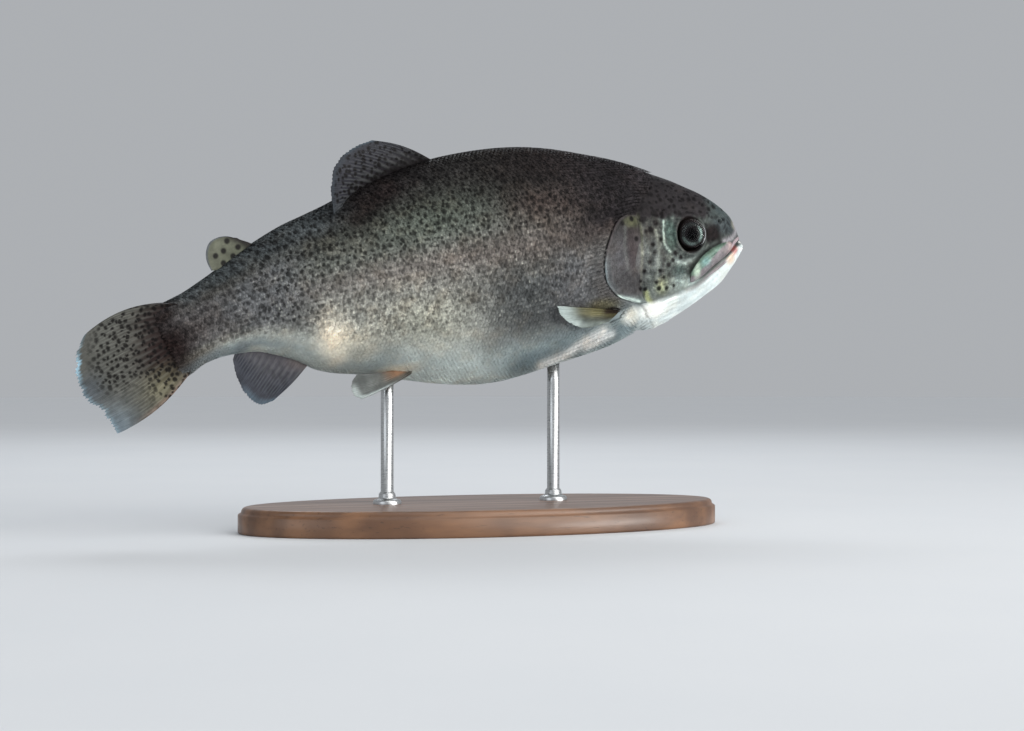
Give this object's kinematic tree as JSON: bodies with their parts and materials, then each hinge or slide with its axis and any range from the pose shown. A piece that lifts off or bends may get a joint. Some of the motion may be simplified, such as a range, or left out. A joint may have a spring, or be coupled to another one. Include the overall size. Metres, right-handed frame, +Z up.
{
  "type": "rainbow trout",
  "caption": "Life-size rainbow trout model in a swimming pose, held by two short rods on a flat oval base.",
  "frame": {"origin": "centre of the underside of the stand's base", "axes": "+Z up, +X the way the fish's head points, -Y its right flank"},
  "size_m": [0.3255, 0.112, 0.1803],
  "materials": {
    "flank": "scaled skin, dark spotted back fading to silver-grey flank and pale belly",
    "head": "smooth wet skin, spotted, silver-green cheeks",
    "pale_skin": "smooth wet white skin",
    "eye": "glossy, black pupil in a dark silver iris",
    "fin": "thin ribbed fin, spotted, pale bluish edge",
    "stand_wood": "dark oiled walnut",
    "stand_steel": "brushed"
  },
  "bodies": {
    "root": {"head_skull": "head", "head_lower_jaw": "pale_skin", "head_throat": "pale_skin", "head_maxilla_right": "head", "head_maxilla_left": "head", "head_gill_cover_right": "head", "head_gill_cover_left": "head", "eye_right": "eye", "eye_left": "eye", "trunk": "flank", "tail_stalk": "flank", "fin_dorsal": "fin", "fin_adipose": "fin", "fin_tail": "fin", "fin_anal": "fin", "fin_pelvic_right": "fin", "fin_pelvic_left": "fin", "fin_pectoral_right": "fin", "fin_pectoral_left": "fin", "stand_base": "stand_wood", "stand_rod_front": "stand_steel", "stand_rod_rear": "stand_steel"}
  },
  "joints": []
}
